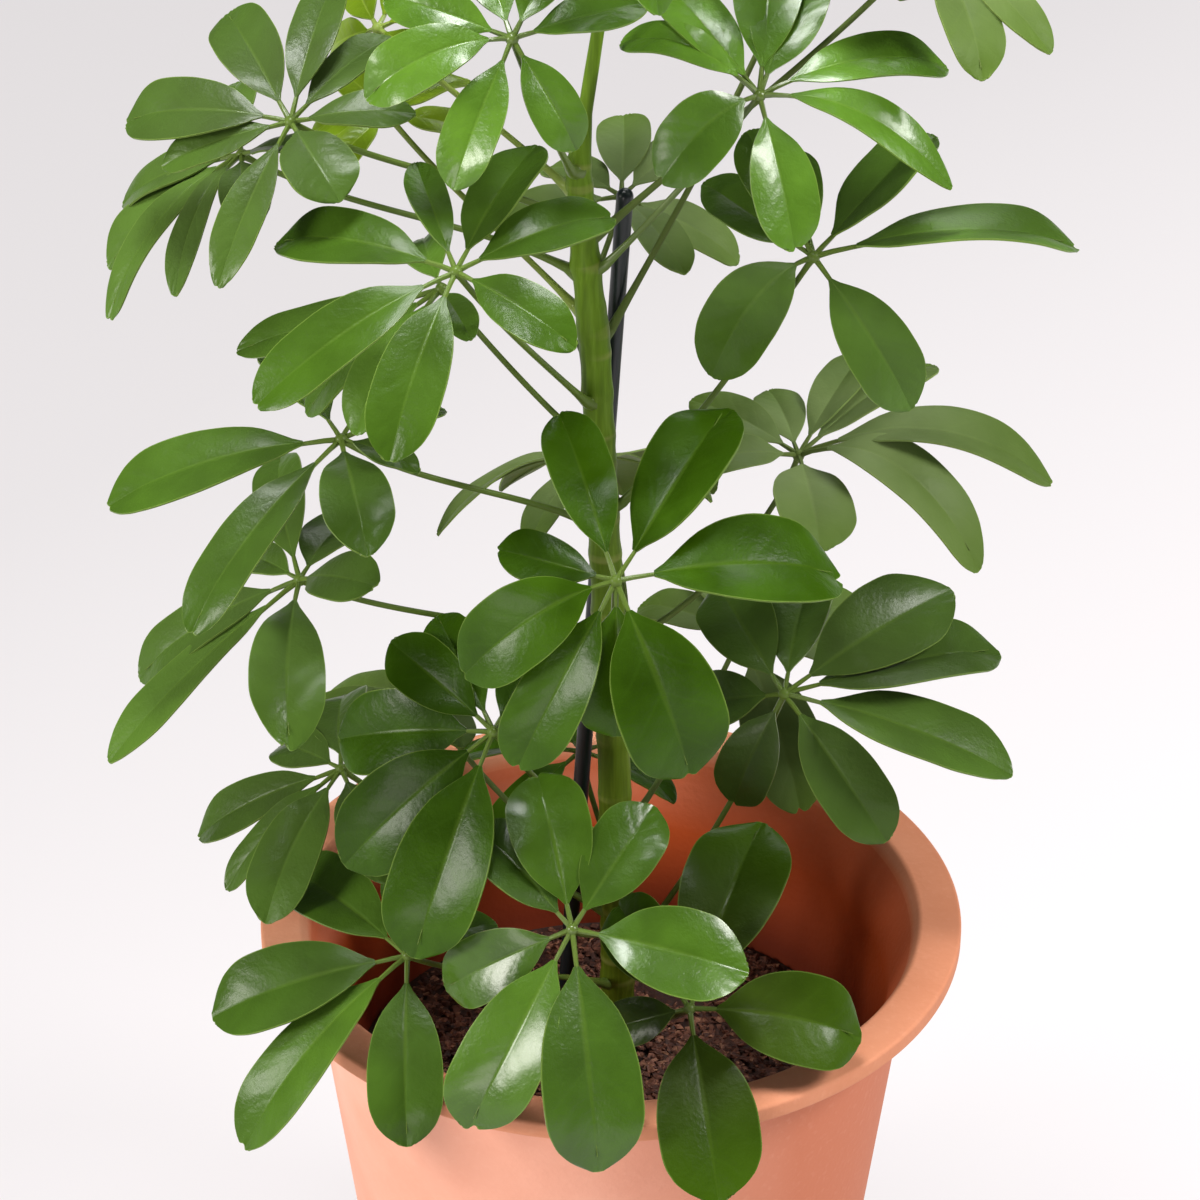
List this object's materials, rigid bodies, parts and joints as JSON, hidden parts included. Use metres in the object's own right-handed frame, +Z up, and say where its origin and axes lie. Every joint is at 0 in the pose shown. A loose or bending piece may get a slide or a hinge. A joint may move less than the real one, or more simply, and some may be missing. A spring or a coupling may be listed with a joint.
{
  "type": "potted dwarf umbrella tree",
  "caption": "Dwarf umbrella tree with palmate notched leaflets on one upright stem, held by a thin stake, planted in bark in a round terracotta pot with a flat rim.",
  "frame": {"origin": "centre of the pot's flat base", "axes": "+Z up along the pot's axis and the stem, -Y towards the side the picture shows, +X to the picture's right"},
  "size_m": [0.2969, 0.2471, 0.5988],
  "materials": {
    "terracotta": "fired unglazed clay, matte",
    "bark": "damp bark chips, rough",
    "stem_bark": "green young bark with leaf scars, satin",
    "stake_plastic": "near-black, slightly glossy",
    "leaf_green": "waxy leaf, glossy above, with a thin pale margin",
    "young_leaf_green": "young yellow-green leaf, glossy"
  },
  "bodies": {
    "root": {"pot": "terracotta", "soil": "bark", "stem": "stem_bark", "stake": "stake_plastic", "leaf_left_top": "leaf_green", "leaf_left_top_under": "leaf_green", "leaf_centre_top": "leaf_green", "leaf_left_upper": "leaf_green", "leaf_left_upper_under": "leaf_green", "leaf_left_middle": "leaf_green", "leaf_left_lower": "leaf_green", "leaf_centre_front": "leaf_green", "leaf_right_top": "leaf_green", "leaf_right_upper": "leaf_green", "leaf_right_middle": "leaf_green", "leaf_right_lower": "leaf_green", "leaf_left_base": "leaf_green", "leaf_left_base_outer": "leaf_green", "leaf_left_rim": "leaf_green", "leaf_front_base": "leaf_green", "leaf_right_base": "leaf_green", "leaf_young_left_top": "young_leaf_green", "leaf_young_left_back": "young_leaf_green", "leaf_back_top": "leaf_green", "leaf_back_middle": "leaf_green", "leaf_back_lower_right": "leaf_green", "leaf_back_lower_left": "leaf_green", "leaf_back_base": "leaf_green", "leaf_right_crown": "leaf_green", "leaf_right_crown_back": "leaf_green", "leaf_crown_front": "leaf_green", "leaf_crown_left": "leaf_green", "leaf_crown_back": "leaf_green", "leaf_crown_tip": "leaf_green"}
  },
  "joints": []
}
